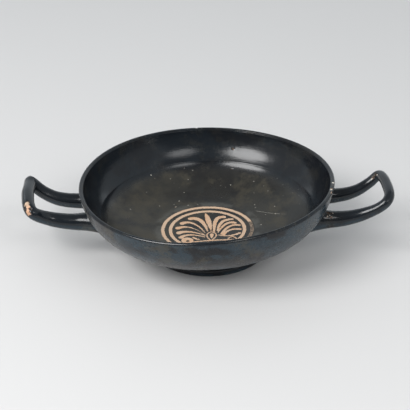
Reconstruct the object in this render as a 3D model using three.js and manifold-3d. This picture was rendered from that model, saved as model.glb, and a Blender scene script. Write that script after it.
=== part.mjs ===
// Stemless kylix: a shallow wheel-thrown drinking cup on a low ring foot, with two horizontal,
// upswung loop handles. Bowl, foot and handles were joined while the clay was damp and fired as
// one, so the cup is one solid.
// Millimetres, +Z up. The origin is the centre of the foot on the table, the handles lie along X,
// and the cup is seen from -Y.
import * as THREE from 'three';
import { mergeVertices } from 'three/addons/utils/BufferGeometryUtils.js';
import Module from 'manifold-3d';

// Bowl, measured on its own axis
const rimRadius = 77.5;
const cupHeight = 46.7;
const lipThickness = 2.6;
const lipDrop = 11.9; // how far down the outer wall heads almost straight from the lip
const lipInset = 2.2; // how far it leans in over that drop
const bellyInset = 7.8; // pulls the turn of the belly in from the rim
const bellyHeight = 16.2;
const wallThickness = 3.4; // just above the step inside
const stepHeight = 27.2; // the offset line inside, where the lip zone ends
const stepDepth = 1;
const stepRun = 0.18; // share of the wall curve over which the step drops
const floorThickness = 3.9; // at the centre of the bowl
const floorFlatness = 0.26; // share of the floor's rise that is a plain dish, the rest turns up late

// Ring foot
const footRadius = 36.7;
const footInnerRadius = 29.6;
const footEdge = 1.0; // rounding of the resting edge
const torusHeight = 4.6;
const grooveDepth = 1.3;
const neckRadius = 33.2;
const neckHeight = 9.9; // where the foot meets the bowl
const recessHeight = 7.8; // ceiling under the bowl, at its centre
const recessRise = 0.8; // the ceiling is higher at its edge

// The cup has settled a little on its foot and its rim is not true
const bowlLean = 1.29; // degrees, +X side up
const rimOvality = 0.9; // added to the radius along the long way, taken off across it
const rimOvalityTurn = 35; // degrees from +X to the long way
const rimWave = 1.1; // height of the two high places and depth of the two low ones
const rimWaveTurn = -31; // degrees from +X to the nearest high place

// Handles: a rolled rod bent to a loop that is widest at its outer corners
const leftHandle = {
  side: -1, rootSpread: 26.4, cornerSpread: 40.4, reach: 30.15, bow: 2, skew: 2.3, cornerCut: 5,
  farCorner: 3.4, farLift: 0.3, farRoundness: 0.5, flarePower: 7, rootHeight: 26.5, rise: 10.2,
  risePower: 3.6, farRisePower: 4.3, barRadius: 3.85, nearRootRadius: 5.3, farRootRadius: 4.9,
};
const rightHandle = {
  side: 1, rootSpread: 30.6, cornerSpread: 38.8, reach: 30.3, bow: 1.7, skew: -1.2, cornerCut: 5.6,
  farCorner: 1.2, farLift: 0.3, farRoundness: 0.55, flarePower: 4.5, rootHeight: 25.6, rise: 13.2,
  risePower: 3.2, farRisePower: 3.3, barRadius: 3.15, nearRootRadius: 5.2, farRootRadius: 5,
};
// skew: how far the far end of the bar lies outside the near one; farCorner and farLift: outward and upward
// pull on the far corner; flarePower, risePower and farRisePower: how late along the arms the loop widens
// and rises
const nearRoundness = 0.58; // of the near corners
const rootSmear = 2.8; // clay smeared on to the bowl below each root
const rootSmearAbove = 0.8;
const rootSmearLength = 10;
const rootBurial = 9; // extra length, so that no part of the rod's end shows below the wall

// Fineness of the facets
const aroundBowl = 70;
const alongWall = 9;
const alongFloor = 7;
const aroundRod = 12;
const alongRod = 56;

const wasm = await Module();
wasm.setup();

const settleFrom = 2; // nothing below this height moves when the cup settles
const settleFull = 12; // everything above this height leans in full
const leanAngle = THREE.MathUtils.degToRad(bowlLean);

// Moves a point of the true bowl to where it is on the settled, slightly oval cup.
function settle(point) {
  const turn = Math.atan2(point.y, point.x);
  const share = THREE.MathUtils.clamp((point.z - neckHeight) / (cupHeight - neckHeight), 0, 1.1);
  const long = Math.cos(2 * (turn - THREE.MathUtils.degToRad(rimOvalityTurn)));
  const high = Math.cos(2 * (turn - THREE.MathUtils.degToRad(rimWaveTurn)));
  const radius = Math.hypot(point.x, point.y) + share * rimOvality * long;
  const height = point.z + share * rimWave * high;
  const angle = leanAngle * THREE.MathUtils.smoothstep(point.z, settleFrom, settleFull);
  const x = radius * Math.cos(turn);
  const up = height - neckHeight;
  point.set(
    x * Math.cos(angle) - up * Math.sin(angle),
    radius * Math.sin(turn),
    neckHeight + x * Math.sin(angle) + up * Math.cos(angle),
  );
  return point;
}

function settleGeometry(geometry) {
  const position = geometry.attributes.position;
  const point = new THREE.Vector3();
  for (let i = 0; i < position.count; i += 1) {
    settle(point.fromBufferAttribute(position, i));
    position.setXYZ(i, point.x, point.y, point.z);
  }
  return geometry;
}

function signedVolume(vertices, triangles) {
  const [a, b, c] = [new THREE.Vector3(), new THREE.Vector3(), new THREE.Vector3()];
  let volume = 0;
  for (let i = 0; i < triangles.length; i += 3) {
    a.fromArray(vertices, 3 * triangles[i]);
    b.fromArray(vertices, 3 * triangles[i + 1]);
    c.fromArray(vertices, 3 * triangles[i + 2]);
    volume += a.dot(b.cross(c)) / 6;
  }
  return volume;
}

function toSolid(geometry) {
  const bare = geometry.clone();
  bare.deleteAttribute('normal');
  bare.deleteAttribute('uv');
  const merged = mergeVertices(bare, 1e-4);
  const vertices = new Float32Array(merged.attributes.position.array);
  const kept = [];
  for (let i = 0; i < merged.index.count; i += 3) {
    const [a, b, c] = [0, 1, 2].map((k) => merged.index.getX(i + k));
    if (a !== b && b !== c && c !== a) kept.push(a, b, c);
  }
  if (signedVolume(vertices, kept) < 0) kept.reverse();
  return new wasm.Manifold(new wasm.Mesh({
    numProp: 3, vertProperties: vertices, triVerts: new Uint32Array(kept),
  }));
}

function toGeometry(solid) {
  const mesh = solid.getMesh();
  const geometry = new THREE.BufferGeometry();
  geometry.setAttribute('position', new THREE.BufferAttribute(mesh.vertProperties, mesh.numProp));
  geometry.setIndex(new THREE.BufferAttribute(mesh.triVerts, 1));
  geometry.computeVertexNormals();
  return geometry;
}

// A closed profile of (radius, height) points, turned round the Z axis.
function turned(profile) {
  return new THREE.LatheGeometry(profile, aroundBowl).rotateX(Math.PI / 2);
}

const lipHeight = cupHeight - lipThickness / 2;
const outerWall = new THREE.CubicBezierCurve(
  new THREE.Vector2(rimRadius, lipHeight),
  new THREE.Vector2(rimRadius - lipInset, lipHeight - lipDrop),
  new THREE.Vector2(rimRadius - bellyInset, bellyHeight),
  new THREE.Vector2(neckRadius, neckHeight),
);

// The point inside the bowl that lies a wall's thickness from the outer wall.
function innerPoint(along, thickness) {
  const tangent = outerWall.getTangent(along);
  return outerWall.getPoint(along).add(new THREE.Vector2(tangent.y, -tangent.x).multiplyScalar(thickness));
}

function wallAt(along, stepStart) {
  const left = 1 - THREE.MathUtils.clamp((along - stepStart) / stepRun, 0, 1);
  const dropped = 1 - left ** 3;
  const full = THREE.MathUtils.lerp(lipThickness, wallThickness, Math.min(along / stepStart, 1));
  return innerPoint(along, full - stepDepth * dropped);
}

// Where along the outer wall the step inside begins.
function findStep() {
  let low = 0.05;
  let high = 0.95;
  for (let i = 0; i < 40; i += 1) {
    const middle = (low + high) / 2;
    if (innerPoint(middle, wallThickness).y > stepHeight) low = middle;
    else high = middle;
  }
  return (low + high) / 2;
}

function innerWallPoints() {
  const stepStart = findStep();
  const points = [];
  for (let i = 0; i <= alongWall; i += 1) points.push(wallAt(stepStart * i / alongWall, stepStart));
  for (const share of [0.2, 0.5, 1]) points.push(wallAt(stepStart + stepRun * share, stepStart));
  return points;
}

function floorPoints(edge) {
  const floorHeight = recessHeight + floorThickness;
  const points = [];
  for (let i = 1; i <= alongFloor; i += 1) {
    const out = 1 - i / alongFloor;
    const rise = floorFlatness * out ** 2 + (1 - floorFlatness) * out ** 4;
    points.push(new THREE.Vector2(edge.x * out, floorHeight + (edge.y - floorHeight) * rise));
  }
  return points;
}

function lipPoints() {
  const half = lipThickness / 2;
  const lip = new THREE.EllipseCurve(rimRadius - half, lipHeight, half, half, 0, Math.PI);
  return lip.getPoints(5).slice(1, -1);
}

// From the centre of the recess under the bowl, out and up to the neck.
function footPoints() {
  const grooveRadius = footRadius - grooveDepth;
  const foot = new THREE.Path();
  foot.moveTo(0, recessHeight);
  foot.lineTo(footInnerRadius * 0.5, recessHeight + recessRise * 0.4);
  foot.lineTo(footInnerRadius - 3, recessHeight + recessRise);
  foot.quadraticCurveTo(
    footInnerRadius - 0.6, recessHeight + recessRise, footInnerRadius, recessHeight - 1.6,
  );
  foot.lineTo(footInnerRadius + 0.5, footEdge);
  foot.lineTo(footInnerRadius + 0.5 + footEdge, 0);
  foot.lineTo(footRadius - footEdge, 0);
  foot.quadraticCurveTo(footRadius + 0.4, torusHeight * 0.45, footRadius - footEdge * 0.6, torusHeight);
  foot.lineTo(grooveRadius, torusHeight + 0.3);
  foot.lineTo(grooveRadius - 0.2, torusHeight + 1);
  foot.quadraticCurveTo(neckRadius + 0.4, neckHeight - 2, neckRadius, neckHeight);
  return foot.getPoints(3);
}

function bowlGeometry() {
  const outer = outerWall.getPoints(alongWall + 3).reverse();
  const inner = innerWallPoints();
  const profile = [
    ...footPoints().slice(0, -1), ...outer, ...lipPoints(), ...inner, ...floorPoints(inner.at(-1)),
  ];
  profile.at(-1).x = 0;
  return settleGeometry(turned(profile));
}

// Everything inside the middle of the wall, to trim the handles' ends with.
function middleOfWallGeometry() {
  const points = [];
  for (let i = 0; i <= alongWall; i += 1) points.push(innerPoint(0.97 * i / alongWall, lipThickness / 2));
  const top = new THREE.Vector2(0, points[0].y);
  const bottom = new THREE.Vector2(0, points.at(-1).y);
  return settleGeometry(turned([bottom, ...points.reverse(), top]));
}

const outerSamples = outerWall.getPoints(120);

function outerRadiusAt(height) {
  const nearest = (best, p) => (Math.abs(p.y - height) < Math.abs(best.y - height) ? p : best);
  return outerSamples.reduce(nearest).x;
}

function distanceToWall(point) {
  const radius = Math.hypot(point.x, point.y);
  const gap = (p) => Math.hypot(p.x - radius, p.y - point.z);
  const near = outerSamples.reduce((best, p) => (gap(p) < gap(best) ? p : best));
  const inside = radius < near.x && point.z > near.y;
  return inside ? 0 : gap(near);
}

// The rod's centre line, from the near root round the loop to the far root, on the true bowl.
function handleCurve(handle) {
  const rootHalf = handle.rootSpread / 2;
  const cornerHalf = handle.cornerSpread / 2;
  const start = outerRadiusAt(handle.rootHeight) - wallThickness;
  const end = rimRadius + handle.reach;
  const armLength = end - start;
  const height = (share, across) => {
    const late = THREE.MathUtils.lerp(handle.risePower, handle.farRisePower, (1 + across / cornerHalf) / 2);
    return handle.rootHeight + handle.rise * share ** late;
  };
  const skewAt = (share, across) => handle.skew * (across / cornerHalf) * share ** 3;
  const place = (out, across) => {
    const share = THREE.MathUtils.clamp((out - start) / armLength, 0, 1.1);
    return new THREE.Vector3(handle.side * (out + skewAt(share, across)), across, height(share, across));
  };
  const armAt = (share, way) => {
    const across = rootHalf + (cornerHalf - rootHalf) * share ** handle.flarePower;
    return place(start + armLength * share, way * across);
  };
  const cutShare = 1 - handle.cornerCut / armLength;
  const barEnd = cornerHalf - handle.cornerCut;
  const bowAt = (across) => handle.bow * (1 - (across / cornerHalf) ** 2);
  const half = (way) => {
    const arm = [0, 0.2, 0.4, 0.6, 0.8, 1].map((share) => armAt(share * cutShare, way));
    const bar = place(end + bowAt(barEnd), way * barEnd);
    const farther = way > 0 ? handle.farCorner : 0;
    const roundness = way > 0 ? handle.farRoundness : nearRoundness;
    const corner = arm.at(-1).clone().add(bar).multiplyScalar(roundness / 2);
    const tip = place(end + farther, way * cornerHalf);
    if (way > 0) tip.z += handle.farLift;
    const buried = place(start - rootBurial, way * rootHalf);
    return [buried, ...arm, corner.add(tip.multiplyScalar(1 - roundness)), bar];
  };
  return new THREE.CatmullRomCurve3(
    [...half(-1), place(end + handle.bow, 0), ...half(1).reverse()], false, 'centripetal',
  );
}

// Where the rod's rings lie along it: closer together at the roots.
function ringShares() {
  const shares = [];
  for (let i = 0; i <= alongRod; i += 1) {
    const even = i / alongRod;
    shares.push(THREE.MathUtils.lerp(even, (1 - Math.cos(Math.PI * even)) / 2, 0.3));
  }
  return shares;
}

// A rod that thickens towards its roots and spreads on to the wall, mostly below.
function handleGeometry(handle) {
  const curve = handleCurve(handle);
  const shares = ringShares();
  const vertices = [];
  for (let i = 0; i <= alongRod; i += 1) {
    const centre = curve.getPointAt(shares[i]);
    const thicker = THREE.MathUtils.smoothstep(Math.abs(2 * shares[i] - 1), 0.25, 0.85);
    const rootRadius = shares[i] < 0.5 ? handle.nearRootRadius : handle.farRootRadius;
    const radius = THREE.MathUtils.lerp(handle.barRadius, rootRadius, thicker);
    const ahead = curve.getTangentAt(shares[i]);
    const across = new THREE.Vector3(0, 0, 1).cross(ahead).normalize();
    const up = ahead.clone().cross(across);
    for (let k = 0; k < aroundRod; k += 1) {
      const angle = 2 * Math.PI * k / aroundRod;
      const out = across.clone().multiplyScalar(Math.cos(angle)).addScaledVector(up, Math.sin(angle));
      const skin = centre.clone().addScaledVector(out, radius);
      const near = Math.max(1 - distanceToWall(skin) / rootSmearLength, 0) ** 2;
      const smear = THREE.MathUtils.lerp(rootSmear, rootSmearAbove, (out.z + 1) / 2);
      vertices.push(settle(skin.addScaledVector(out, near * smear)));
    }
  }
  vertices.push(settle(curve.getPointAt(0)), settle(curve.getPointAt(1)));
  const first = vertices.length - 2;
  const last = vertices.length - 1;
  const triangles = [];
  for (let k = 0; k < aroundRod; k += 1) {
    const next = (k + 1) % aroundRod;
    for (let i = 0; i < alongRod; i += 1) {
      const [a, b] = [i * aroundRod + k, i * aroundRod + next];
      triangles.push(a, b, b + aroundRod, a, b + aroundRod, a + aroundRod);
    }
    triangles.push(first, next, k);
    triangles.push(last, alongRod * aroundRod + k, alongRod * aroundRod + next);
  }
  const geometry = new THREE.BufferGeometry().setFromPoints(vertices);
  geometry.setIndex(triangles);
  return geometry;
}

const blackGloss = new THREE.MeshStandardMaterial({ color: 0x1b2024, roughness: 0.3, metalness: 0 });

function cup() {
  const middle = toSolid(middleOfWallGeometry());
  let solid = toSolid(bowlGeometry());
  for (const handle of [leftHandle, rightHandle]) {
    solid = solid.add(toSolid(handleGeometry(handle)).subtract(middle));
  }
  const mesh = new THREE.Mesh(toGeometry(solid), blackGloss);
  mesh.name = 'kylix_cup';
  return mesh;
}

const kylix = new THREE.Group();
kylix.add(cup());

export default kylix;
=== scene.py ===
"""Stemless kylix: one fired piece in black slip gloss, with a palmette medallion on its floor.

The cup is thrown, settled and dressed here in finer detail than its solid, from the same sizes.
All lengths are metres, in the part's own frame: the foot's centre on the table is the origin, the
handles lie along X, and the cup is seen from -Y.
"""
import math

import bmesh
import bpy
import numpy as np
from mathutils import Matrix, Vector, noise


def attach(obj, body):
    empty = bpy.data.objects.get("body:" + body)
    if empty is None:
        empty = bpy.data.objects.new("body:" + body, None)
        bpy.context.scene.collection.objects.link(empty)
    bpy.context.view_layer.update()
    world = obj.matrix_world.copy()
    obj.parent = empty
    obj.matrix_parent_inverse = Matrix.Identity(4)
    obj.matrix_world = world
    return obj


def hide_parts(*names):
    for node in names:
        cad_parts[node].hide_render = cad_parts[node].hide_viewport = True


bl_info = {
    "name": "Stemless kylix",
    "version": (1, 0, 0),
    "blender": (4, 5, 0),
    "location": "3D View > Sidebar > Kylix",
    "description": "Throws and paints a stemless drinking cup with two loop handles",
    "category": "Add Mesh",
}

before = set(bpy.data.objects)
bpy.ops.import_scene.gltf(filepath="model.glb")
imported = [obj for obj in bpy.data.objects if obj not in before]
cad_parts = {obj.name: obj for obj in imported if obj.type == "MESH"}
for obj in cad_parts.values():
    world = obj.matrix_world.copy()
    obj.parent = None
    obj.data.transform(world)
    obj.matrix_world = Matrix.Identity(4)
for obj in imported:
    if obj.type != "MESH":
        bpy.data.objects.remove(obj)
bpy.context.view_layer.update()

MM = 0.001
CUP = "kylix"

CAMERA_PLACE = (-0.0019, -0.7154, 0.4199)
CAMERA_DIP = math.radians(28.627)
CAMERA_LENS = 116.3
FLOOR_SIZE = 8.0

# How finely the bowl, the cutter for its inside and the rods of the handles are divided
BOWL_AROUND = 256
MIDDLE_AROUND = 192
ROD_STEPS = 132
ROD_AROUND = 36

ROD_LUMPS = 0.14 * MM
NEAR_ROUNDNESS = 0.58  # rounding of both handles' near corners, from 0 to 1
GLOSS_IOR = 1.43


def length(name, description, default):
    """A size that the user can change, in metres."""
    return bpy.props.FloatProperty(
        name=name, description=description, default=default,
        unit="LENGTH", subtype="DISTANCE", precision=4,
    )


def share(name, description, default):
    """A plain number with no unit."""
    return bpy.props.FloatProperty(name=name, description=description, default=default, precision=3)


def turn(name, description, degrees):
    """An angle that the user can change."""
    return bpy.props.FloatProperty(
        name=name, description=description, default=math.radians(degrees),
        unit="ROTATION", subtype="ANGLE",
    )


def colour(name, description, default):
    """A colour that the user can change, as the shaders take it."""
    return bpy.props.FloatVectorProperty(
        name=name, description=description, default=default, subtype="COLOR", size=3, min=0, max=1,
    )


class KylixBowlSizes(bpy.types.PropertyGroup):
    """Sizes of the thrown bowl."""

    rim_radius: length("Rim radius", "Outer radius of the lip", 0.0775)
    height: length("Height", "Height of the lip above the table", 0.0467)
    lip_thickness: length("Lip thickness", "Thickness of the rounded lip", 0.0026)
    lip_drop: length("Lip drop", "How far down the wall heads almost straight from the lip", 0.0119)
    lip_inset: length("Lip inset", "How far the wall leans in over that drop", 0.0022)
    belly_inset: length("Belly inset", "Pulls the turn of the belly in from the rim", 0.0078)
    belly_height: length("Belly height", "Height of the pull on the turn of the belly", 0.0162)
    wall_thickness: length("Wall thickness", "Thickness of the wall above the step inside", 0.0034)
    step_height: length("Step height", "Height of the offset line inside the bowl", 0.0272)
    step_depth: length("Step depth", "How far the wall steps back at the offset line", 0.001)
    step_run: share("Step run", "Share of the wall's curve over which the step drops", 0.18)
    floor_thickness: length("Floor thickness", "Thickness of the floor at its centre", 0.0039)
    floor_flatness: share("Floor flatness", "Share of the floor's rise that is a plain dish", 0.26)
    lean: turn("Lean", "The bowl leans on its foot, +X side up", 1.29)
    ovality: length("Ovality", "Added to the radius the long way and taken off across it", 0.0009)
    ovality_turn: turn("Ovality direction", "From +X to the long way of the rim", 35)
    wave: length("Rim wave", "Height of the two high places of the rim", 0.0011)
    wave_turn: turn("Wave direction", "From +X to the nearest high place of the rim", -31)
    swelling: length("Swelling", "Height of a low swelling of the rim on the near side", 0.00095)
    swelling_turn: turn("Swelling direction", "From +X to the middle of the swelling", -83.65)
    swelling_width: turn("Swelling width", "Half its width, as an angle round the rim", 24.06)


class KylixFootSizes(bpy.types.PropertyGroup):
    """Sizes of the ring foot."""

    radius: length("Foot radius", "Outer radius of the rounded ring", 0.0367)
    inner_radius: length("Inner radius", "Radius of the recess under the bowl", 0.0296)
    edge: length("Edge", "Rounding of the resting edge", 0.001)
    torus_height: length("Ring height", "Height of the rounded ring", 0.0046)
    groove_depth: length("Groove depth", "Depth of the groove above the ring", 0.0013)
    neck_radius: length("Neck radius", "Radius where the foot meets the bowl", 0.0332)
    neck_height: length("Neck height", "Height where the foot meets the bowl", 0.0099)
    recess_height: length("Recess height", "Height of the recess at its centre", 0.0078)
    recess_rise: length("Recess rise", "How much higher the recess is at its edge", 0.0008)


class KylixLeftHandleSizes(bpy.types.PropertyGroup):
    """Sizes of the handle at -X."""

    side: share("Side", "Which side of the cup the handle is on", -1)
    root_spread: length("Root spread", "Distance between the two roots", 0.0264)
    corner_spread: length("Corner spread", "Width over the outer corners", 0.0404)
    reach: length("Reach", "How far the handle stands out from the rim", 0.03015)
    bow: length("Bow", "How far the bar bows outwards", 0.002)
    skew: length("Skew", "How far the far end of the bar lies outside the near one", 0.0023)
    corner_cut: length("Corner cut", "Rounding of the outer corners", 0.005)
    far_corner: length("Far corner", "Outward pull on the far corner", 0.0034)
    far_lift: length("Far lift", "Upward pull on the far corner", 0.0003)
    far_roundness: share("Far roundness", "Rounding of the far corner, from 0 to 1", 0.5)
    flare_power: share("Flare power", "How late along the arms the loop widens", 7)
    root_height: length("Root height", "Height of the roots", 0.0265)
    rise: length("Rise", "How far the handle swings up", 0.0102)
    rise_power: share("Rise power", "How late along the near arm the handle rises", 3.6)
    far_rise_power: share("Far rise power", "How late along the far arm it rises", 3.9)
    bar_radius: length("Bar radius", "Radius of the rod at the outer bar", 0.00385)
    near_root: length("Near root", "Radius of the rod at its near root", 0.0053)
    far_root: length("Far root", "Radius of the rod at its far root", 0.0049)


class KylixRightHandleSizes(bpy.types.PropertyGroup):
    """Sizes of the handle at +X."""

    side: share("Side", "Which side of the cup the handle is on", 1)
    root_spread: length("Root spread", "Distance between the two roots", 0.0306)
    corner_spread: length("Corner spread", "Width over the outer corners", 0.0388)
    reach: length("Reach", "How far the handle stands out from the rim", 0.0303)
    bow: length("Bow", "How far the bar bows outwards", 0.0017)
    skew: length("Skew", "How far the far end of the bar lies outside the near one", -0.0012)
    corner_cut: length("Corner cut", "Rounding of the outer corners", 0.0056)
    far_corner: length("Far corner", "Outward pull on the far corner", 0.0012)
    far_lift: length("Far lift", "Upward pull on the far corner", 0.0003)
    far_roundness: share("Far roundness", "Rounding of the far corner, from 0 to 1", 0.55)
    flare_power: share("Flare power", "How late along the arms the loop widens", 4.5)
    root_height: length("Root height", "Height of the roots", 0.0256)
    rise: length("Rise", "How far the handle swings up", 0.0132)
    rise_power: share("Rise power", "How late along the near arm the handle rises", 3.2)
    far_rise_power: share("Far rise power", "How late along the far arm it rises", 3.3)
    bar_radius: length("Bar radius", "Radius of the rod at the outer bar", 0.00315)
    near_root: length("Near root", "Radius of the rod at its near root", 0.0052)
    far_root: length("Far root", "Radius of the rod at its far root", 0.005)


class KylixMedallionSizes(bpy.types.PropertyGroup):
    """Sizes of the painted medallion on the floor."""

    offset: length("Offset", "How far the medallion sits off the bowl's axis, along X", -0.0003)
    outer_ring: length("Outer ring", "Radius of the outer ring's middle", 0.0277)
    inner_ring: length("Inner ring", "Radius of the inner ring's middle", 0.023)
    ring_width: length("Ring width", "Width of both rings", 0.0021)


class KylixFinishes(bpy.types.PropertyGroup):
    """Colours of the slip, the clay and the studio."""

    gloss: colour("Gloss", "Black slip where it is thick", (0.0045, 0.0055, 0.0075))
    # Blue-grey slip, which also paints the bluish reflection of the pale floor on faces that look down
    gloss_blue: colour("Blue-grey gloss", "Slip where it fired blue-grey", (0.017, 0.031, 0.042))
    gloss_brown: colour("Brown gloss", "Slip where it is thin", (0.05, 0.044, 0.031))
    clay: colour("Clay", "Reserved clay, brushed over thinly", (0.5, 0.31, 0.185))
    clay_pale: colour("Pale clay", "Reserved clay where it is rubbed", (0.48, 0.35, 0.25))
    fresh_clay: colour("Fresh clay", "Clay in the chips", (0.55, 0.32, 0.2))
    crust: colour("Crust", "Pale crust in the smallest pits", (0.64, 0.6, 0.53))
    haze: colour("Haze", "Greyish bloom round the medallion", (0.1, 0.1, 0.09))
    # Dark colour for chips and pits of the darkest tone, and for the grime speckle in the chips
    chip_dark: colour("Darkening", "Dirt in the chips and the pits", (0.02, 0.013, 0.008))
    floor: colour("Studio floor", "The floor under the cup", (0.565, 0.557, 0.552))


class Value:
    """A number on a node's socket. Sums, products and powers of it add Math nodes."""

    def __init__(self, graph, socket):
        self.graph = graph
        self.socket = socket

    def math(self, operation, *others):
        return self.graph.math(operation, self, *others)

    def __add__(self, other):
        return self.math("ADD", other)

    def __radd__(self, other):
        return self.graph.math("ADD", other, self)

    def __sub__(self, other):
        return self.math("SUBTRACT", other)

    def __rsub__(self, other):
        return self.graph.math("SUBTRACT", other, self)

    def __mul__(self, other):
        return self.math("MULTIPLY", other)

    def __rmul__(self, other):
        return self.graph.math("MULTIPLY", other, self)

    def __truediv__(self, other):
        return self.math("DIVIDE", other)

    def __rtruediv__(self, other):
        return self.graph.math("DIVIDE", other, self)

    def __pow__(self, other):
        return self.math("POWER", other)

    def __neg__(self):
        return self.graph.math("MULTIPLY", self, -1)

    def __abs__(self):
        return self.math("ABSOLUTE")


class Graph:
    """The nodes of one material, cleared and ready."""

    def __init__(self, material):
        material.use_nodes = True
        self.tree = material.node_tree
        self.tree.nodes.clear()

    def node(self, kind, settings=(), inputs=()):
        """Adds a node, sets its settings, then gives its sockets their values or links."""
        node = self.tree.nodes.new(kind)
        for name, setting in dict(settings).items():
            setattr(node, name, setting)
        for name, given in dict(inputs).items():
            self.feed(node.inputs[name], given)
        return node

    def feed(self, socket, given):
        """Links a value or a socket to an input, or sets the input to a plain number or colour."""
        if isinstance(given, Value):
            given = given.socket
        if isinstance(given, bpy.types.NodeSocket):
            self.tree.links.new(given, socket)
        elif socket.type == "RGBA":
            socket.default_value = (*given, 1)[:4]
        else:
            socket.default_value = given

    def math(self, operation, *terms):
        node = self.node("ShaderNodeMath", {"operation": operation}, dict(enumerate(terms)))
        return Value(self, node.outputs[0])

    def number(self, node, output=0):
        """One of a node's outputs, as a value."""
        return Value(self, node.outputs[output])

    def smooth(self, low, high, given):
        """0 below low, 1 above high, eased between them."""
        inputs = {"Value": given, "From Min": low, "From Max": high}
        return self.number(self.node("ShaderNodeMapRange", {"interpolation_type": "SMOOTHSTEP"}, inputs))

    def mix(self, factor, a, b):
        """Colour a where factor is 0 and b where it is 1."""
        node = self.node("ShaderNodeMix", {"data_type": "RGBA"}, {0: factor, 6: a, 7: b})
        return node.outputs[2]

    def speckle(self, place, scale, detail=3, rough=0.5, seed=0, stretch=None):
        """Soft noise about 0.5, at so many lumps a metre."""
        if stretch is not None:
            settings = {"operation": "MULTIPLY"}
            place = self.node("ShaderNodeVectorMath", settings, {0: place, 1: stretch}).outputs[0]
        inputs = {"Vector": place, "W": seed, "Scale": scale, "Detail": detail, "Roughness": rough}
        return self.number(self.node("ShaderNodeTexNoise", {"noise_dimensions": "4D"}, inputs))

    def kept(self, name):
        """The number that a piece's mesh keeps at each of its points under that name."""
        return self.number(self.node("ShaderNodeAttribute", {"attribute_name": name}), "Fac")


def eased(low, high, value):
    """0 below low, 1 above high, eased between them."""
    t = min(max((value - low) / (high - low), 0), 1)
    return t * t * (3 - 2 * t)


def cubic(a, b, c, d, t):
    """A point on the cubic curve with those four control points."""
    s = 1 - t
    return a * s**3 + b * 3 * s * s * t + c * 3 * s * t * t + d * t**3


def quadratic(a, b, c, t):
    """A point, or a number, on the quadratic curve with those three controls."""
    s = 1 - t
    return a * s * s + b * 2 * s * t + c * t * t


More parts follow.
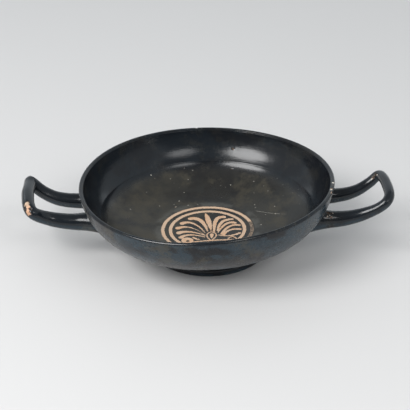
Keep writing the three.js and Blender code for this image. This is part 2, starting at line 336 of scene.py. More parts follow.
class Profile:
    """The bowl's outline on its own axis, as radius and height."""

    def __init__(self, bowl, foot):
        self.bowl = bowl
        self.foot = foot
        self.lip_height = bowl.height - bowl.lip_thickness / 2
        self.wall = (
            Vector((bowl.rim_radius, self.lip_height)),
            Vector((bowl.rim_radius - bowl.lip_inset, self.lip_height - bowl.lip_drop)),
            Vector((bowl.rim_radius - bowl.belly_inset, bowl.belly_height)),
            Vector((foot.neck_radius, foot.neck_height)),
        )
        self.samples = np.array([cubic(*self.wall, i / 240) for i in range(241)])
        self.step_start = self.find_step()

    def inner(self, along, thickness):
        """The point inside the bowl that lies this thickness in from the outer wall."""
        ahead = cubic(*self.wall, min(along + 1e-3, 1)) - cubic(*self.wall, max(along - 1e-3, 0))
        ahead.normalize()
        return cubic(*self.wall, along) + Vector((ahead.y, -ahead.x)) * thickness

    def find_step(self):
        """How far along the wall the inner face passes the height of the step."""
        low, high = 0.05, 0.95
        for _ in range(40):
            middle = (low + high) / 2
            if self.inner(middle, self.bowl.wall_thickness).y > self.bowl.step_height:
                low = middle
            else:
                high = middle
        return low

    def inner_wall(self, along):
        """The inner face, which thickens down to the step and thins over it."""
        bowl = self.bowl
        left = 1 - min(max((along - self.step_start) / bowl.step_run, 0), 1)
        dropped = 1 - left**3
        grown = min(along / self.step_start, 1)
        full = bowl.lip_thickness + (bowl.wall_thickness - bowl.lip_thickness) * grown
        return self.inner(along, full - bowl.step_depth * dropped)

    def floor(self, edge, out):
        """The floor at a share of its own radius from the centre."""
        low = self.foot.recess_height + self.bowl.floor_thickness
        dish = self.bowl.floor_flatness
        rise = dish * out**2 + (1 - dish) * out**4
        return Vector((edge.x * out, low + (edge.y - low) * rise))

    def outside(self):
        """From the centre of the recess under the bowl, over the foot and up to the lip."""
        foot = self.foot
        groove = foot.radius - foot.groove_depth
        ceiling = foot.recess_height + foot.recess_rise
        points = [Vector((foot.inner_radius * i / 14, 0)) for i in range(13)]
        for point in points:
            point.y = foot.recess_height + foot.recess_rise * (point.x / foot.inner_radius) ** 2
        corner = (
            points[-1],
            Vector((foot.inner_radius - 0.6 * MM, ceiling)),
            Vector((foot.inner_radius, foot.recess_height - 1.6 * MM)),
        )
        points += [quadratic(*corner, i / 8) for i in range(1, 9)]
        ring = (
            Vector((foot.inner_radius + 0.5 * MM, foot.edge)),
            Vector((foot.inner_radius + 0.6 * MM, 0)),
            Vector((foot.inner_radius + 0.5 * MM + foot.edge, 0)),
        )
        points += [quadratic(*ring, i / 4) for i in range(5)]
        torus = (
            Vector((foot.radius - foot.edge, 0)),
            Vector((foot.radius + 0.4 * MM, 0.1 * MM)),
            Vector((foot.radius + 0.4 * MM, foot.torus_height - 0.2 * MM)),
            Vector((foot.radius - foot.edge * 0.6, foot.torus_height)),
        )
        points += [cubic(*torus, i / 12) for i in range(13)]
        neck = (
            Vector((groove, foot.torus_height + 0.3 * MM)),
            Vector((groove - 0.4 * MM, foot.torus_height + 1.2 * MM)),
            Vector((foot.neck_radius + 0.2 * MM, foot.neck_height - 2 * MM)),
            self.wall[3] + Vector((0.2 * MM, 0.05 * MM)),
        )
        points += [cubic(*neck, i / 12) for i in range(13)]
        return points + [cubic(*self.wall, 1 - i / 44) for i in range(1, 45)]

    def inside(self):
        """From the lip down the inner wall, over the step, to the centre of the floor."""
        half = self.bowl.lip_thickness / 2
        middle = Vector((self.bowl.rim_radius - half, self.lip_height))
        points = []
        for i in range(1, 10):
            angle = math.pi * i / 10
            points.append(middle + Vector((math.cos(angle), math.sin(angle))) * half)
        points += [self.inner_wall(self.step_start * i / 34) for i in range(35)]
        downs = [self.bowl.step_run * (i / 20) ** 1.8 for i in range(1, 21)]
        points += [self.inner_wall(self.step_start + down) for down in downs]
        edge = points[-1]
        outs = [1 - i / 44 for i in range(1, 21)]
        outs += [outs[-1] * (1 - i / 76) for i in range(1, 77)]
        return points + [self.floor(edge, out) for out in outs]

    def middle_of_wall(self):
        """A closed outline that fills the bowl's inside, out to half-way through the wall."""
        half = self.bowl.lip_thickness / 2
        points = [self.inner(0.97 * i / 40, half) for i in range(41)]
        return [Vector((0, points[-1].y)), *reversed(points), Vector((0, points[0].y))]

    def outer_radius(self, height):
        """The outer wall's radius at a height."""
        return float(self.samples[np.abs(self.samples[:, 1] - height).argmin(), 0])

    def distance(self, point):
        """From a point to the outer wall, and 0 inside it."""
        radius = math.hypot(point.x, point.y)
        gaps = np.hypot(self.samples[:, 0] - radius, self.samples[:, 1] - point.z)
        near = gaps.argmin()
        if radius < self.samples[near, 0] and point.z > self.samples[near, 1]:
            return 0.0
        return float(gaps[near])


class Settled:
    """Moves points of the true bowl to where they are on the leaning, slightly oval cup."""

    def __init__(self, bowl, foot):
        self.bowl = bowl
        self.pivot = foot.neck_height

    def at(self, point):
        bowl = self.bowl
        around = math.atan2(point.y, point.x)
        grown = min(max((point.z - self.pivot) / (bowl.height - self.pivot), 0), 1.1)
        radius = math.hypot(point.x, point.y)
        radius += grown * bowl.ovality * math.cos(2 * (around - bowl.ovality_turn))
        height = point.z + grown * bowl.wave * math.cos(2 * (around - bowl.wave_turn))
        beside = (around - bowl.swelling_turn) / bowl.swelling_width
        height += grown * bowl.swelling * math.exp(-beside * beside)
        angle = bowl.lean * eased(2 * MM, 12 * MM, point.z)
        x = radius * math.cos(around)
        up = height - self.pivot
        return Vector((
            x * math.cos(angle) - up * math.sin(angle),
            radius * math.sin(around),
            self.pivot + x * math.sin(angle) + up * math.cos(angle),
        ))

    def back(self, point):
        """The place on the true bowl that settled to this point."""
        guess = point.copy()
        for _ in range(4):
            guess += point - self.at(guess)
        return guess


def turned(name, outline, around, settled):
    """A closed mesh turned from an outline that starts and ends on the axis."""
    mesh = bpy.data.meshes.new(name)
    body = bmesh.new()
    rings = []
    for i, point in enumerate(outline):
        if i in (0, len(outline) - 1):
            rings.append([body.verts.new(settled.at(Vector((0, 0, point.y))))])
            continue
        ring = []
        for k in range(around):
            angle = 2 * math.pi * k / around
            place = Vector((point.x * math.cos(angle), point.x * math.sin(angle), point.y))
            ring.append(body.verts.new(settled.at(place)))
        rings.append(ring)
    for below, above in zip(rings, rings[1:]):
        for k in range(around):
            n = (k + 1) % around
            if len(below) == 1:
                body.faces.new((below[0], above[n], above[k]))
            elif len(above) == 1:
                body.faces.new((below[k], below[n], above[0]))
            else:
                body.faces.new((below[k], below[n], above[n], above[k]))
    bmesh.ops.recalc_face_normals(body, faces=body.faces)
    body.to_mesh(mesh)
    body.free()
    return mesh


def loop_line(sizes, profile):
    """Points that the rod's centre line passes, from the near root round to the far one."""
    root_half = sizes.root_spread / 2
    corner_half = sizes.corner_spread / 2
    start = profile.outer_radius(sizes.root_height) - profile.bowl.wall_thickness
    end = profile.bowl.rim_radius + sizes.reach
    arm_length = end - start

    def place(out, across):
        """The point that far out from the cup's axis and that far across, on the rising loop."""
        along = min(max((out - start) / arm_length, 0), 1.1)
        late = sizes.rise_power + (sizes.far_rise_power - sizes.rise_power) * (1 + across / corner_half) / 2
        height = sizes.root_height + sizes.rise * along**late
        shifted = out + sizes.skew * (across / corner_half) * along**3
        return Vector((sizes.side * shifted, across, height))

    bar_end = corner_half - sizes.corner_cut
    bow_end = sizes.bow * (1 - (bar_end / corner_half) ** 2)

    def half(way):
        """From inside the wall out along one arm to the bar: the near arm at -1, the far one at 1."""
        points = [place(start - 9 * MM, way * root_half)]
        for i in range(6):
            along = i / 5 * (1 - sizes.corner_cut / arm_length)
            across = root_half + (corner_half - root_half) * along**sizes.flare_power
            points.append(place(start + arm_length * along, way * across))
        bar = place(end + bow_end, way * bar_end)
        farther = sizes.far_corner if way > 0 else 0
        roundness = sizes.far_roundness if way > 0 else NEAR_ROUNDNESS
        tip = place(end + farther, way * corner_half)
        if way > 0:
            tip.z += sizes.far_lift
        points.append((points[-1] + bar) * (roundness / 2) + tip * (1 - roundness))
        return [*points, bar]

    return [*half(-1), place(end + sizes.bow, 0), *reversed(half(1))]


def spline(points, steps):
    """A smooth line through points, in even steps along its length."""
    ends = [points[0] * 2 - points[1], *points, points[-1] * 2 - points[-2]]
    fine = []
    for a, b, c, d in zip(ends, ends[1:], ends[2:], ends[3:]):
        knots = [0]
        for p, q in ((a, b), (b, c), (c, d)):
            knots.append(knots[-1] + (q - p).length ** 0.5)
        for i in range(24):
            t = knots[1] + (knots[2] - knots[1]) * i / 24
            level = [a, b, c, d]
            for width in (1, 2):
                level = [
                    level[j] * ((knots[j + width] - t) / (knots[j + width] - knots[j]))
                    + level[j + 1] * ((t - knots[j]) / (knots[j + width] - knots[j]))
                    for j in range(len(level) - 1)
                ]
            lower = (knots[2] - t) / (knots[2] - knots[1])
            fine.append(level[0] * lower + level[1] * (1 - lower))
    fine.append(points[-1])
    run = np.cumsum([0] + [(q - p).length for p, q in zip(fine, fine[1:])])
    coords = np.array(fine)
    even = np.linspace(0, run[-1], steps + 1)
    columns = [np.interp(even, run, coords[:, k]) for k in range(3)]
    return [Vector(row) for row in zip(*columns)]


def rod(name, sizes, profile, settled):
    """A handle: the rod thickens towards its roots and spreads on to the wall, mostly below."""
    line = spline(loop_line(sizes, profile), ROD_STEPS)
    body = bmesh.new()
    rings = []
    for i, centre in enumerate(line):
        ahead = (line[min(i + 3, ROD_STEPS)] - line[max(i - 3, 0)]).normalized()
        across = Vector((0, 0, 1)).cross(ahead).normalized()
        up = ahead.cross(across)
        thicker = eased(0.25, 0.85, abs(2 * i / ROD_STEPS - 1))
        root = sizes.near_root if i < ROD_STEPS / 2 else sizes.far_root
        radius = sizes.bar_radius + (root - sizes.bar_radius) * thicker
        ring = []
        for k in range(ROD_AROUND):
            angle = 2 * math.pi * k / ROD_AROUND
            out = across * math.cos(angle) + up * math.sin(angle)
            lumps = noise.noise(centre * 90 + out * 0.8 + Vector((sizes.side * 7, 0, 0)))
            skin = centre + out * (radius + lumps * ROD_LUMPS)
            near = max(1 - profile.distance(skin) / (10 * MM), 0) ** 2
            smear = (1.8 - out.z) * MM
            ring.append(body.verts.new(settled.at(skin + out * near * smear)))
        rings.append(ring)
    for below, above in zip(rings, rings[1:]):
        for k in range(ROD_AROUND):
            n = (k + 1) % ROD_AROUND
            body.faces.new((below[k], below[n], above[n], above[k]))
    body.faces.new(list(reversed(rings[0])))
    body.faces.new(rings[-1])
    for face in body.faces:
        face.material_index = 1
    bmesh.ops.recalc_face_normals(body, faces=body.faces)
    mesh = bpy.data.meshes.new(name)
    body.to_mesh(mesh)
    body.free()
    return mesh


def joined(first, second, operation):
    """The first mesh with the second joined on or cut away."""
    target = bpy.data.objects.new("work", first)
    tool = bpy.data.objects.new("tool", second)
    for item in (target, tool):
        bpy.context.scene.collection.objects.link(item)
    cut = target.modifiers.new("cut", "BOOLEAN")
    cut.object = tool
    cut.operation = operation
    cut.solver = "MANIFOLD"
    evaluated = target.evaluated_get(bpy.context.evaluated_depsgraph_get())
    mesh = bpy.data.meshes.new_from_object(evaluated)
    for item in (target, tool):
        bpy.data.objects.remove(item)
    if len(mesh.polygons) < 100:
        raise RuntimeError("the " + operation.lower() + " of " + first.name + " left nothing")
    return mesh


# Each leaf of the palmette: root, pull and tip in millimetres from the bowl's axis, and half widths
# at the root, in the middle and at the tip.
LEAVES = (
    ((2.0, -1.2), (0.5, 12.5), (-1.4, 20), (0.15, 1.6, 0.6)),
    ((-0.3, -1.3), (-3.5, 17.3), (-11.3, 14.2), (0.4, 1.5, 1.4)),
    ((-1.9, -3.1), (-9, 13.6), (-16.2, 8.4), (0.35, 0.8, 1.6)),
    ((-2.5, -5.4), (-11, 7.8), (-18.8, 2.4), (0.35, 0.55, 1.6)),
    ((-1.9, -6.5), (-12.2, 0.8), (-18, -3.4), (0.45, 0.85, 1.7)),
    ((-2.2, -8.4), (-12.6, -2.9), (-16.6, -9), (0.5, 0.8, 1.5)),
    ((3.8, -1.9), (3.5, 18.2), (10.2, 15.6), (0.7, 1.35, 1.3)),
    ((6, -1), (7, 13.2), (15.2, 12.7), (0.6, 1.1, 1)),
    ((6.2, -3.3), (10.9, 11.6), (16.8, 8), (0.4, 0.95, 1.1)),
    ((8.6, -5.6), (12.4, 7.9), (19.6, 4.7), (0.9, 0.95, 0.9)),
    ((9.8, -6.5), (12.6, 2), (20, -0.3), (0.9, 0.9, 1)),
    ((6.7, -6.7), (12.5, -9.9), (19.4, -5.3), (0.4, 0.6, 1)),
    ((-9, -8.9), (-7.6, -11.2), (-5.6, -11.5), (0.6, 0.7, 0.5)),
    ((-14, -15.5), (1.5, -12.2), (15.5, -13.2), (0.5, 0.65, 0.6)),
    ((2, -2.4), (-3.4, -5.5), (1.9, -13.3), (0.42, 0.42, 0.42)),
    ((2, -2.4), (8.4, -5.5), (1.9, -13.3), (0.42, 0.42, 0.42)),
    ((2.3, -5.6), (2.4, -8.3), (2.1, -10.4), (1.15, 0.85, 0.2)),
    ((12.5, -11.3), (15.5, -6.8), (17.7, -12.7), (0.45, 0.5, 0.5)),
    ((17.7, -12.7), (15.5, -16.5), (12.6, -14), (0.5, 0.5, 0.4)),
    ((1.9, -15.2), (2, -17), (1.9, -19.6), (0.3, 1.2, 1.1)),
    ((0.6, -15.4), (-2.5, -16.5), (-4, -19.4), (0.3, 1, 0.9)),
    ((3.2, -15.4), (6.5, -16.3), (8.2, -18.6), (0.3, 1, 0.9)),
)
VOLUTE = (-12.7, -12.8, 3.7)  # centre and radius of the left volute
EYE = (-12.4, -13.5, 1.1)  # centre and radius of the black eye in it


def medallion_edge(points, sizes):
    """Distance from each point of the floor to the edge of the reserved clay, negative on the clay."""
    flat = points[:, :2] / MM
    edge = np.full(len(flat), 1e3)
    for root, pull, tip, widths in LEAVES:
        for i in range(41):
            t = i / 40
            middle = quadratic(np.array(root), np.array(pull), np.array(tip), t)
            half = quadratic(widths[0], 2 * widths[1] - (widths[0] + widths[2]) / 2, widths[2], t)
            edge = np.minimum(edge, np.linalg.norm(flat - middle, axis=1) - half)
    volute = np.linalg.norm(flat - VOLUTE[:2], axis=1) - VOLUTE[2]
    eye = EYE[2] - np.linalg.norm(flat - EYE[:2], axis=1)
    edge = np.minimum(edge, np.maximum(volute, eye))
    from_middle = np.hypot(flat[:, 0] - sizes.offset / MM, flat[:, 1])
    for radius in (sizes.outer_ring, sizes.inner_ring):
        edge = np.minimum(edge, np.abs(from_middle - radius / MM) - sizes.ring_width / MM / 2)
    return edge


# The smallest pale pits on the floor of the bowl: centres in millimetres, in the part's frame.
SPECKS = (
    (-37.0, 50.8, 23.9),
    (-34.4, 49.8, 22.2),
    (-18.9, 54.2, 20.7),
    (-11.1, 58.8, 22.0),
    (2.7, 58.8, 21.6),
    (-21.5, 49.0, 18.6),
    (5.9, 51.8, 18.2),
    (-22.7, 46.0, 17.6),
    (-20.4, 27.8, 13.1),
    (24.2, 23.7, 13.9),
    (29.1, 17.0, 14.0),
    (30.3, 13.0, 14.1),
)

# Where the slip has flaked: centre in the part's frame, radius and depth in millimetres, and the
# tone of the break: -1 pale, 0 fresh clay, 1 dark.
CHIPS = (
    ((-109.2, -15.8, 38.6), 1.7, 0.35, -0.7),
    ((-108.2, -17.6, 37.4), 1.4, 0.35, -0.3),
    ((-108.2, -19.3, 36.0), 1.4, 0.35, 0.05),
    ((-107.9, -20.8, 34.6), 1.3, 0.35, 0.1),
    ((-109.9, -18.0, 36.1), 0.9, 0.8, 1.0),
    ((-106.5, -19.2, 37.2), 0.75, 0.7, 1.0),
    ((103.9, 15.4, 42.6), 1.1, 0.25, 0.97),
    ((102.6, 15.4, 40.5), 1.1, 0.2, 0.95),
    ((104.6, 13.4, 43.4), 0.5, 0.2, -0.9),
    ((103.2, 14.6, 41.7), 0.35, 0.1, -1.0),
    ((101.9, 15.3, 39.4), 0.35, 0.1, -0.9),
    ((72.4, -16.8, 33.1), 1.0, 0.3, 0.97),
    ((73.9, -16.9, 32.8), 0.7, 0.2, 0.97),
    ((71.8, -19.2, 31.9), 0.4, 0.2, -0.95),
    ((73.6, -19.2, 31.3), 0.5, 0.2, 0.9),
    ((73.2, -18.2, 32.2), 0.35, 0.1, -1.0),
    ((75.3, -16.6, 32.9), 0.3, 0.1, -0.9),
    ((75.5, -7.6, 49.1), 0.8, 0.3, -1.0),
    ((75.9, -3.4, 48.9), 0.35, 0.2, -0.9),
    ((75.0, -11.6, 49.1), 0.35, 0.15, -0.4),
    ((73.5, -17.0, 49.0), 0.65, 0.3, -1.0),
    ((73.1, -20.4, 48.9), 0.35, 0.15, -0.6),
    ((-7.5, 76.3, 45.9), 1.1, 0.5, 0.3),
    ((16.6, 68.6, 34.0), 0.6, 0.3, 1.0),
    ((16.1, 68.2, 34.6), 0.35, 0.2, 1.0),
    ((15.8, 60.0, 23.6), 0.4, 0.25, 1.0),
    *((centre, 0.33, 0.04, -1.0) for centre in SPECKS),
)


def chip_at(place):
    """How much of the slip is gone at a place, how deep the chip is there, and its tone."""
    gone, depth, tone = 0.0, 0.0, 0.0
    for centre, radius, deep, shade in CHIPS:
        gap = (place / MM - Vector(centre)).length
        if gap > radius * 2:
            continue
        ragged = noise.noise(place * 900) * 0.4 + noise.noise(place * 2500) * 0.3
        inward = 1 - gap / radius + ragged * min(radius, 1)
        here = eased(-0.12, 0.12, inward)
        tone += (shade - tone) * eased(-0.7, -0.3, inward)
        gone = max(gone, here)
        depth = max(depth, here * deep * (0.75 + ragged))
    return gone, depth * MM, tone


def near_chip(place):
    """Whether a place is on a chip or just beside one."""
    return any((place / MM - Vector(centre)).length < radius * 1.5 for centre, radius, *_ in CHIPS)


def near_root(place):
    """Whether a place of the true bowl is where the handles' roots meet the wall."""
    return abs(place.x) > 55 * MM and abs(place.y) < 32 * MM and 12 * MM < place.z < 38 * MM


def smear_roots(body, settled):
    """Welds and smooths the seams along which the handles' roots meet the wall."""
    seam = []
    for vert in body.verts:
        kinds = {face.material_index for face in vert.link_faces}
        if len(kinds) > 1 and near_root(settled.back(vert.co)):
            seam.append(vert)
    smeared = set(seam)
    for _ in range(2):
        smeared |= {edge.other_vert(vert) for vert in smeared for edge in vert.link_edges}
    bmesh.ops.remove_doubles(body, verts=seam, dist=0.15 * MM)
    # A sliver that closes up can leave a face hanging by one edge
    stray = [face for face in body.faces if any(edge.is_boundary for edge in face.edges)]
    bmesh.ops.delete(body, geom=stray, context="FACES")
    smeared = [vert for vert in smeared if vert.is_valid]
    for _ in range(5):
        bmesh.ops.smooth_vert(
            body, verts=smeared, factor=0.5, use_axis_x=True, use_axis_y=True, use_axis_z=True,
        )


def sink_chips(body):
    """Divides the mesh more finely at the chips, and sinks them in it."""
    for _ in range(2):
        faces = [face for face in body.faces if near_chip(face.calc_center_median())]
        edges = list(dict.fromkeys(edge for face in faces for edge in face.edges))
        bmesh.ops.subdivide_edges(body, edges=edges, cuts=1, use_grid_fill=True)
    body.normal_update()
    chipped = [vert for vert in body.verts if near_chip(vert.co)]
    sunk = [vert.co - vert.normal * chip_at(vert.co)[1] for vert in chipped]
    for vert, place in zip(chipped, sunk):
        vert.co = place


def finish_surface(mesh, settled, medallion):
    """Smears the roots, chips the slip and keeps what the paint needs at every point."""
    body = bmesh.new()
    body.from_mesh(mesh)
    smear_roots(body, settled)
    sink_chips(body)
    for face in body.faces:
        face.smooth = True
        face.material_index = 0
    bmesh.ops.triangulate(body, faces=[face for face in body.faces if len(face.verts) > 4])
    body.to_mesh(mesh)
    body.free()
    places = [vert.co for vert in mesh.vertices]
    thrown = np.array([settled.back(place) for place in places])
    chips = np.array([chip_at(place) if near_chip(place) else (0, 0, 0) for place in places])
    edge = np.full(len(thrown), 9.0)
    on_floor = (np.hypot(thrown[:, 0], thrown[:, 1]) < 32 * MM) & (thrown[:, 2] > 10.4 * MM)
    edge[on_floor] = medallion_edge(thrown[on_floor], medallion)
    keep(mesh, "thrown", thrown)
    keep(mesh, "chip", chips[:, 0])
    keep(mesh, "chip_tone", chips[:, 2])
    keep(mesh, "clay_edge", edge)
    mesh.update()


def keep(mesh, name, values):
    """Keeps a number or a place at each of the mesh's points, for the paint."""
    kind = "FLOAT_VECTOR" if values.ndim == 2 else "FLOAT"
    field = "vector" if values.ndim == 2 else "value"
    points = mesh.attributes.new(name, kind, "POINT").data
    points.foreach_set(field, values.astype(np.float32).ravel())


def gloss_material(finishes):
    """Black slip gloss with its uneven fire, a painted bluish floor reflection on faces that look down,
    brush marks, wear and the reserved clay.
    """
    material = bpy.data.materials.new("black_gloss")
    g = Graph(material)
    place = g.node("ShaderNodeAttribute", {"attribute_name": "thrown"}).outputs["Vector"]
    axes = g.node("ShaderNodeSeparateXYZ", inputs={0: place}).outputs
    x, y, z = (Value(g, socket) for socket in axes)
    radius = (x * x + y * y).math("SQRT")
    normal = g.node("ShaderNodeNewGeometry").outputs["Normal"]
    facing = g.node("ShaderNodeSeparateXYZ", inputs={0: normal}).outputs
    looks_up = Value(g, facing[2])

    # Reserved clay, with a hand-painted edge
    wobble = g.speckle(place, 650, 3, 0.6) - 0.5
    clay = 1 - g.smooth(-0.16, 0.16, g.kept("clay_edge") + wobble * 0.75)
    worn_ring = g.smooth(-9.5 * MM, -7.5 * MM, -y) * g.smooth(14 * MM, 20 * MM, x)
    worn_ring = worn_ring * g.smooth(25.5 * MM, 26.5 * MM, radius)
    worn = worn_ring * (0.6 + 0.4 * g.smooth(0.42, 0.58, g.speckle(place, 900, 4, 0.7, 3)))
    clay = clay * (1 - worn * 0.92)
    chip = g.kept("chip")

    # The resting ring under the foot is bare clay, and a dot and two rings are left bare in the recess
    under = g.smooth(0.85, 0.97, -looks_up) * g.smooth(-0.5 * MM, -0.25 * MM, -z)
    ceiling = g.smooth(0.3, 0.7, -looks_up) * g.smooth(6 * MM, 7 * MM, z)
    ceiling = ceiling * (1 - g.smooth(27.6 * MM, 28 * MM, radius))
    bare_ring = 1 - g.smooth(0.7 * MM, 0.9 * MM, abs(radius - 14 * MM) + wobble * 0.3 * MM)
    bare_dot = 1 - g.smooth(2.6 * MM, 2.9 * MM, radius + wobble * 0.4 * MM)
    wide_ring = 1 - g.smooth(2.2 * MM, 2.5 * MM, abs(radius - 23 * MM) + wobble * 0.3 * MM)
    bare_marks = bare_ring.math("MAXIMUM", bare_dot).math("MAXIMUM", wide_ring)
    bare = (under + ceiling * bare_marks).math("MINIMUM", 1)

    # Slip: thick black, blue-grey and thin brown patches, brushed round the bowl. The blue-grey is partly
    # fired patches and partly a painted reflection of the pale floor: it is kept mostly to faces that look
    # down and raised on the handles.
    broad = g.speckle(place, 22, 3, 0.55, 1)
    patches = g.speckle(place, 70, 4, 0.6, 2)
    fine = g.speckle(place, 420, 4, 0.65, 4)
    outside = g.smooth(0.15, -0.25, looks_up)
    handle = g.smooth(77.5 * MM, 80 * MM, radius)
    on_floor = g.smooth(0.55, 0.85, looks_up) * (1 - g.smooth(60 * MM, 66 * MM, radius))
    smudge = g.speckle(place, 45, 3, 0.6, 13, (1, 1, 2.2))
    # Painted floor reflection: more blue-grey on the handles, and mostly on faces that look down
    blue = 0.1 * handle + broad + (smudge - 0.5) * 1.1 + (patches - 0.5) * 0.5
    blue = g.smooth(0.42, 0.58, blue) * (0.12 + 0.88 * outside)
    brown = g.smooth(0.5, 0.66, g.speckle(place, 58, 4, 0.6, 7) + (fine - 0.5) * 0.3)
    brown = brown * (0.15 + 0.4 * on_floor + 0.5 * outside)
    slip = g.mix(blue * (1 - 0.15 * handle), finishes.gloss, finishes.gloss_blue)
    slip = g.mix(brown * (1 - 0.6 * handle), slip, finishes.gloss_brown)
    dull = on_floor * (0.55 + 0.45 * g.smooth(0.35, 0.65, broad))
    slip = g.mix(dull * (0.26 + 0.2 * g.smooth(0.4, 0.62, smudge)), slip, finishes.gloss_brown)
    west = on_floor * g.smooth(10 * MM, 50 * MM, -x) * g.smooth(0.35, 0.6, patches)
    slip = g.mix(west * 0.7, slip, finishes.gloss_brown)
    halo = 1 - g.smooth(31 * MM, 35 * MM, radius + wobble * 4 * MM)
    halo = g.smooth(28.8 * MM, 29.3 * MM, radius) * halo * on_floor * g.smooth(0.4, 0.55, patches)
    slip = g.mix(halo * 0.4, slip, finishes.haze)

    # One scratch, which starts beside the medallion and heads out towards +X
    heading = math.radians(-31)
    beside = (x - 30.6 * MM) * -math.sin(heading) + (y - 20 * MM) * math.cos(heading)
    scored = (1 - g.smooth(0.08 * MM, 0.24 * MM, abs(beside))) * g.smooth(29 * MM, 32 * MM, x)
    scored = scored * (1 - g.smooth(43 * MM, 51 * MM, x)) * on_floor * g.smooth(0.36, 0.5, fine)
    slip = g.mix(scored * 0.3, slip, finishes.crust)

    # Pale specks and pits on the floor, and rubbed slip at the lip
    spots = g.node("ShaderNodeTexVoronoi", {"feature": "F1"}, {"Vector": place, "Scale": 330})
    size = g.number(g.node("ShaderNodeSeparateColor", inputs={0: spots.outputs["Color"]}))
    speck = (1 - g.smooth(0.07, 0.17, g.number(spots))) * g.smooth(0.72, 0.84, size)
    speck = speck * on_floor * g.smooth(0.36, 0.5, patches)
    lip = g.smooth(45.3 * MM, 46.3 * MM, z) * g.smooth(70 * MM, 73 * MM, radius)
    lip = lip * (1 - g.smooth(79 * MM, 80 * MM, radius))
    rubbed = lip * g.smooth(0.5, 0.66, g.speckle(place, 240, 4, 0.7, 11))

    # The clay of the medallion, and the clay and the dark colour in the chips
    tone = g.speckle(place, 260, 4, 0.7, 5)
    reserved = g.mix(g.smooth(0.35, 0.65, tone), finishes.clay, finishes.clay_pale)
    streaks = g.smooth(0.4, 0.7, g.speckle(place, 900, 2, 0.5, 6))
    reserved = g.mix(streaks * 0.25, reserved, finishes.fresh_clay)
    reserved = g.mix(g.smooth(20.9 * MM, 21.6 * MM, radius) * 0.6, reserved, finishes.clay_pale)
    # The chip's tone: pale below 0, dark towards 1, and darkened further by a grime speckle
    break_tone = g.kept("chip_tone")
    fresh = g.mix(g.smooth(0, 0.6, -break_tone), finishes.fresh_clay, finishes.clay_pale)
    fresh = g.mix(g.smooth(0.75, 0.95, -break_tone), fresh, finishes.crust)
    grime = g.smooth(0.54, 0.62, g.speckle(place, 1100, 3, 0.7, 8)) * 0.7
    fresh = g.mix(break_tone.math("MAXIMUM", grime), fresh, finishes.chip_dark)
    slip = g.mix(rubbed * 0.3, slip, finishes.gloss_brown)
    slip = g.mix(speck * 0.5, slip, finishes.crust)
    tint = g.mix(clay, slip, reserved)
    tint = g.mix(bare, tint, finishes.clay_pale)
    tint = g.mix(chip, tint, fresh)

    # Gloss: brighter on the wall and handles, duller on the floor and on clay
    ring_foot = (1 - g.smooth(5 * MM, 6 * MM, z)) * g.smooth(34 * MM, 35 * MM, radius)
    rough = 0.2 + 0.1 * (patches - 0.5) + 0.12 * (fine - 0.5) * (1 - lip)
    rough = rough + 0.16 * dull + 0.1 * brown + 0.06 * outside - 0.02 * handle - 0.09 * ring_foot
    matt = clay.math("MAXIMUM", bare).math("MAXIMUM", chip)
    rough = rough * (1 - matt) + 0.5 * matt
    rough = rough.math("MAXIMUM", 0.08)

    # Relief: wheel marks, orange peel, brush marks, pits and the slip's own thickness
    wheel = g.speckle(place, 1, 3, 0.6, 9, (60, 60, 520))
    floor_wheel = (radius * 1500 + 3 * broad).math("SINE")
    peel = g.speckle(place, 900, 2, 0.5, 10)
    waves = g.speckle(place, 130, 2, 0.5, 12)
    calm = (1 - lip * 0.95) * (1 - handle * 0.6)
    relief = (wheel * 0.06 * (1 - handle) + peel * 0.004 + waves * 0.08) * calm
    relief = relief + (floor_wheel * 0.004 + fine * 0.02) * on_floor
    relief = relief - clay * 0.02 - speck * 0.05 + tone * matt * 0.05
    bump = g.node("ShaderNodeBump", inputs={"Strength": 1.0, "Distance": MM, "Height": relief})
    shader = g.node("ShaderNodeBsdfPrincipled", inputs={
        "Base Color": tint, "Roughness": rough, "IOR": GLOSS_IOR, "Normal": bump.outputs[0],
    })
    g.node("ShaderNodeOutputMaterial", inputs={"Surface": shader.outputs[0]})
    return material


def link_new(name, data):
    """A new object in the scene."""
    item = bpy.data.objects.new(name, data)
    bpy.context.scene.collection.objects.link(item)
    return item


class KYLIX_OT_cup(bpy.types.Operator):
    """Throws the bowl on its ring foot, joins both handles on, and paints and wears the cup"""

    bl_idname = "kylix.cup"
    bl_label = "Cup"

    def execute(self, context):
        scene = context.scene
        bowl, foot = scene.kylix_bowl, scene.kylix_foot
        profile = Profile(bowl, foot)
        settled = Settled(bowl, foot)
        outline = profile.outside() + profile.inside()
        body = turned("bowl", outline, BOWL_AROUND, settled)
        middle = turned("middle of the wall", profile.middle_of_wall(), MIDDLE_AROUND, settled)
        # Two stand-in materials tell the bowl from the handles along their seams
        kinds = [bpy.data.materials.new(name) for name in ("bowl", "handle")]
        for mesh in (body, middle):
            for kind in kinds:
                mesh.materials.append(kind)
        for sizes in (scene.kylix_left_handle, scene.kylix_right_handle):
            handle = rod("handle", sizes, profile, settled)
            for kind in kinds:
                handle.materials.append(kind)
            body = joined(body, joined(handle, middle, "DIFFERENCE"), "UNION")
        finish_surface(body, settled, scene.kylix_medallion)
        body.materials.clear()
        body.materials.append(gloss_material(scene.kylix_finishes))
        cup = link_new(CUP, body)
        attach(cup, "root")
        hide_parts("kylix_cup")
        return {"FINISHED"}


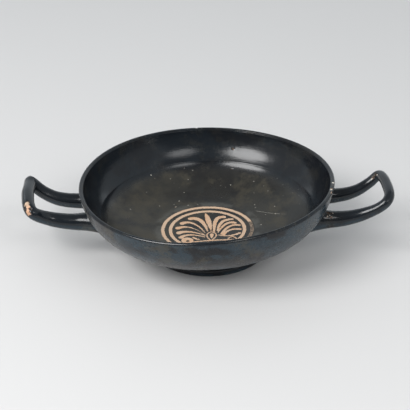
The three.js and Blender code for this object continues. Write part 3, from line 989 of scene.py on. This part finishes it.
class KYLIX_OT_stage(bpy.types.Operator):
    """Lays the pale floor, hangs the soft lights and sets the camera"""

    bl_idname = "kylix.stage"
    bl_label = "Floor, lights and camera"

    def execute(self, context):
        scene = context.scene
        finishes = scene.kylix_finishes
        sheet = bpy.data.meshes.new("studio_floor")
        half = FLOOR_SIZE / 2
        corners = [(-half, -half, 0), (half, -half, 0), (half, half, 0), (-half, half, 0)]
        sheet.from_pydata(corners, [], [(0, 1, 2, 3)])
        floor = link_new("studio_floor", sheet)
        material = bpy.data.materials.new("studio_floor")
        g = Graph(material)
        shader = g.node("ShaderNodeBsdfPrincipled", inputs={"Base Color": finishes.floor, "Roughness": 0.6})
        g.node("ShaderNodeOutputMaterial", inputs={"Surface": shader.outputs[0]})
        sheet.materials.append(material)

        world = bpy.data.worlds.new("studio")
        world.use_nodes = True
        background = world.node_tree.nodes["Background"]
        background.inputs["Color"].default_value = (0.94, 0.975, 1, 1)
        background.inputs["Strength"].default_value = 0.2
        scene.world = world
        cool = (0.86, 0.94, 1)
        white = (1, 1, 1)
        soft_light("key", (-0.8, -0.72, 1.0), (0, 0, 0.03), (1.0, 0.72), 22.5, white)
        soft_light("fill", (0.55, -0.9, 0.95), (0, 0, 0.03), (0.58, 0.38), 2.6, white)
        soft_light("low light", (1.25, -0.85, 0.1), (0, 0, 0.01), (0.35, 0.12), 0.4, white)
        soft_light("ceiling", (0, 0.3, 2.0), (0, 0.3, 0), (3.4, 3.4), 4, cool)
        soft_light("backdrop", (0, 2.6, 1.2), (0, 0, 0.6), (5.6, 2.7), 21, cool)
        soft_light("left card", (-1.7, 0.1, 0.9), (0, 0, 0.1), (4, 2.2), 11, cool)
        soft_light("right card", (1.7, 0.1, 0.9), (0, 0, 0.1), (4, 2.2), 10, cool)
        # These three only soften the shadows, and don't show in the gloss
        bounce = soft_light("bounce", (1.5, -2.5, 1.2), (0, 0, 0), (4, 1.6), 8, white)
        side = soft_light("side", (1.3, -1.2, 1.5), (0, 0, 0), (1.8, 1.2), 14, white)
        overhead = soft_light("overhead", (0, 0.6, 2.4), (0, 0.4, 0), (4, 4), 5, white)
        for light in (bounce, side, overhead):
            light.visible_glossy = False

        lens = bpy.data.cameras.new("view")
        lens.sensor_width = 36
        lens.lens = CAMERA_LENS
        camera = link_new("view", lens)
        tilted = Matrix.Rotation(math.pi / 2 - CAMERA_DIP, 4, "X")
        camera.matrix_world = Matrix.Translation(CAMERA_PLACE) @ tilted
        scene.camera = camera
        scene.view_settings.view_transform = "Standard"
        return {"FINISHED"}


def soft_light(name, place, target, size, power, tint):
    """An oval soft light that faces the target."""
    lamp = bpy.data.lights.new(name, "AREA")
    lamp.shape = "ELLIPSE"
    lamp.size, lamp.size_y = size
    lamp.energy = power
    lamp.color = tint
    item = link_new(name, lamp)
    item.location = place
    item.rotation_euler = (Vector(target) - Vector(place)).to_track_quat("-Z", "Y").to_euler()
    return item


GROUPS = {
    "kylix_bowl": KylixBowlSizes,
    "kylix_foot": KylixFootSizes,
    "kylix_left_handle": KylixLeftHandleSizes,
    "kylix_right_handle": KylixRightHandleSizes,
    "kylix_medallion": KylixMedallionSizes,
    "kylix_finishes": KylixFinishes,
}
OPERATORS = (KYLIX_OT_stage, KYLIX_OT_cup)


class KYLIX_PT_panel(bpy.types.Panel):
    """Lists the sizes, the colours and the buttons that make the cup"""

    bl_idname = "KYLIX_PT_panel"
    bl_label = "Stemless kylix"
    bl_space_type = "VIEW_3D"
    bl_region_type = "UI"
    bl_category = "Kylix"

    def draw(self, context):
        layout = self.layout
        for name, group in GROUPS.items():
            box = layout.box()
            box.label(text=group.__doc__.rstrip("."))
            for field in group.__annotations__:
                box.prop(getattr(context.scene, name), field)
        for operator in OPERATORS:
            layout.operator(operator.bl_idname)


CLASSES = (*GROUPS.values(), *OPERATORS, KYLIX_PT_panel)


def register():
    for item in CLASSES:
        bpy.utils.register_class(item)
    for name, group in GROUPS.items():
        setattr(bpy.types.Scene, name, bpy.props.PointerProperty(type=group))


def unregister():
    for name in GROUPS:
        delattr(bpy.types.Scene, name)
    for item in reversed(CLASSES):
        bpy.utils.unregister_class(item)


def main():
    """Registers the panel and its sizes, then makes the stage and the cup."""
    register()
    bpy.ops.kylix.stage()
    bpy.ops.kylix.cup()


if __name__ == "__main__":
    main()
